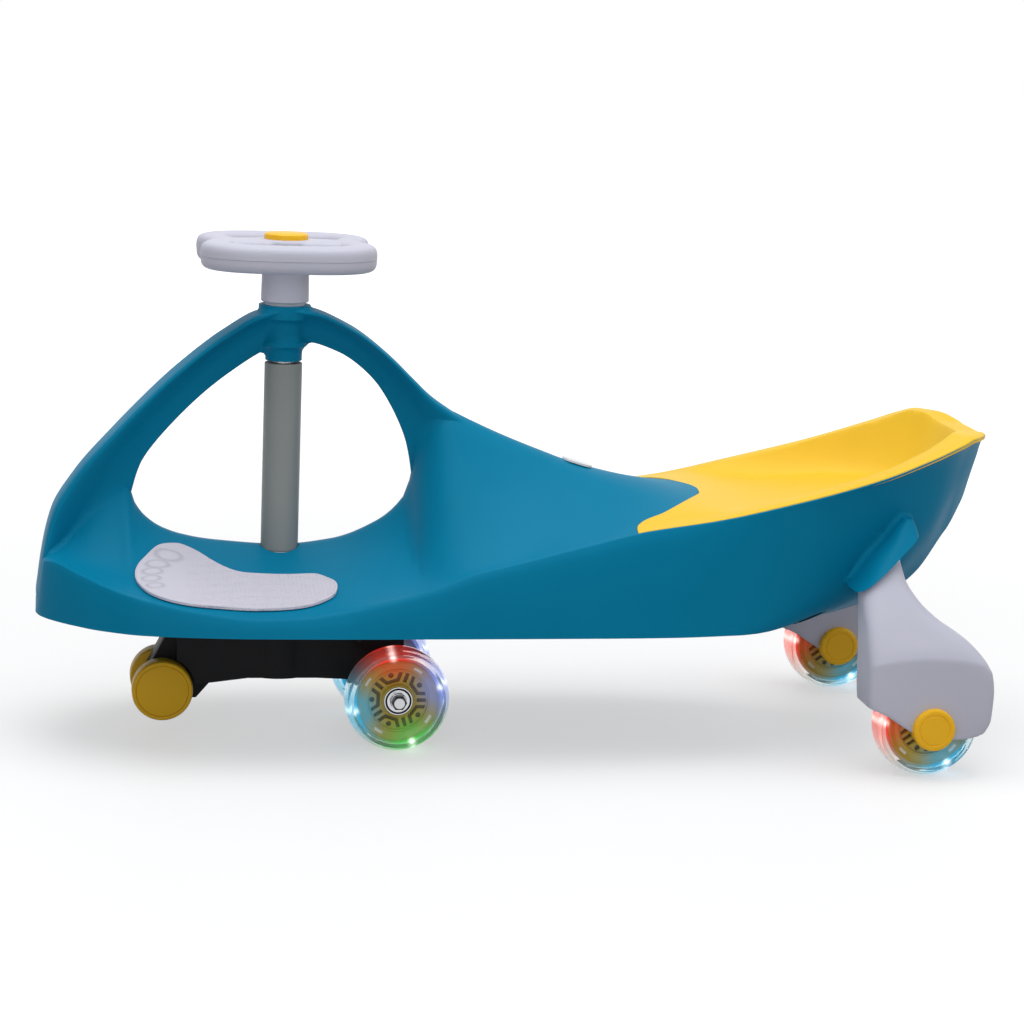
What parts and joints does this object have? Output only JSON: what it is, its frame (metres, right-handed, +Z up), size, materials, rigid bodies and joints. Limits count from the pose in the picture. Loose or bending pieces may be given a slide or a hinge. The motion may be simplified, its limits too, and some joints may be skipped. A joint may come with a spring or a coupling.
{
  "type": "wiggle car",
  "caption": "Ride-on wiggle car: moulded body with a bucket seat and an arch, a steering wheel over a swivelling truck, light-up wheels and rear legs.",
  "frame": {"origin": "on the floor under the middle of the body shell, midway between nose and tail and between the rear axle caps", "axes": "+X forward to the nose, +Y to the rider's left, +Z up"},
  "size_m": [0.736, 0.3144, 0.3851],
  "materials": {
    "teal_body": "satin",
    "yellow_seat": "satin",
    "grey_plastic": "satin",
    "grey_pad": "stippled",
    "white_plastic": "satin",
    "column_grey": "satin",
    "black_plastic": "satin",
    "yellow_cap": "gloss",
    "gold_plastic": "gloss",
    "zinc_steel": "satin",
    "magnet_grey": "matt",
    "clear_tyre": "clear",
    "light_ring": "clear",
    "amber_hub": "clear",
    "bearing_steel": "polished"
  },
  "bodies": {
    "chassis": {"body_shell": "teal_body", "seat_shell": "yellow_seat", "seat_screws": "zinc_steel", "foot_pad_left": "grey_pad", "foot_pad_right": "grey_pad", "badge_pad": "white_plastic", "upper_bush": "white_plastic", "lower_bush": "white_plastic", "rear_leg_left": "grey_plastic", "rear_leg_right": "grey_plastic", "leg_screws": "zinc_steel", "rear_axle_left": "zinc_steel", "rear_axle_right": "zinc_steel", "rear_nuts": "zinc_steel", "rear_spacers": "zinc_steel", "rear_magnet_sleeves": "magnet_grey", "outer_caps": "yellow_cap", "inner_caps": "yellow_cap"},
    "steering": {"steering_shaft": "zinc_steel", "column_sleeve": "column_grey", "sleeve_inserts": "black_plastic", "thrust_washer": "white_plastic", "bottom_washer": "zinc_steel", "bottom_nut": "zinc_steel", "hub_neck": "grey_plastic", "wheel_upper": "grey_plastic", "wheel_lower": "grey_plastic", "wheel_screws": "zinc_steel", "hub_bolt": "zinc_steel", "steering_cap": "yellow_cap", "truck_arm": "black_plastic", "front_axle": "zinc_steel", "front_spacers": "zinc_steel", "front_nuts": "zinc_steel", "front_magnet_sleeves": "magnet_grey", "safety_axle": "zinc_steel"},
    "front_left_wheel": {"front_left_tyre": "clear_tyre", "front_left_lights": "light_ring", "front_left_hub": "amber_hub", "front_left_bearings": "bearing_steel"},
    "front_right_wheel": {"front_right_tyre": "clear_tyre", "front_right_lights": "light_ring", "front_right_hub": "amber_hub", "front_right_bearings": "bearing_steel"},
    "rear_left_wheel": {"rear_left_tyre": "clear_tyre", "rear_left_lights": "light_ring", "rear_left_hub": "amber_hub", "rear_left_bearings": "bearing_steel"},
    "rear_right_wheel": {"rear_right_tyre": "clear_tyre", "rear_right_lights": "light_ring", "rear_right_hub": "amber_hub", "rear_right_bearings": "bearing_steel"},
    "safety_left_wheel": {"safety_wheel_left": "gold_plastic", "safety_cover_left": "gold_plastic"},
    "safety_right_wheel": {"safety_wheel_right": "gold_plastic", "safety_cover_right": "gold_plastic"}
  },
  "joints": [
    {"name": "steering_turn", "type": "hinge", "parent": "chassis", "child": "steering", "pos_m": [0.18503, 0, 0.2], "axis": [0, 0, 1], "continuous": true},
    {"name": "front_left_spin", "type": "hinge", "parent": "steering", "child": "front_left_wheel", "pos_m": [0.09803, 0.054, 0.04], "axis": [0, 1, 0], "continuous": true},
    {"name": "front_right_spin", "type": "hinge", "parent": "steering", "child": "front_right_wheel", "pos_m": [0.09803, -0.054, 0.04], "axis": [0, 1, 0], "continuous": true},
    {"name": "rear_left_spin", "type": "hinge", "parent": "chassis", "child": "rear_left_wheel", "pos_m": [-0.293, 0.13, 0.04], "axis": [0, 1, 0], "continuous": true},
    {"name": "rear_right_spin", "type": "hinge", "parent": "chassis", "child": "rear_right_wheel", "pos_m": [-0.293, -0.13, 0.04], "axis": [0, 1, 0], "continuous": true},
    {"name": "safety_left_spin", "type": "hinge", "parent": "steering", "child": "safety_left_wheel", "pos_m": [0.27303, 0.022, 0.039], "axis": [0, 1, 0], "continuous": true},
    {"name": "safety_right_spin", "type": "hinge", "parent": "steering", "child": "safety_right_wheel", "pos_m": [0.27303, -0.022, 0.039], "axis": [0, 1, 0], "continuous": true}
  ]
}
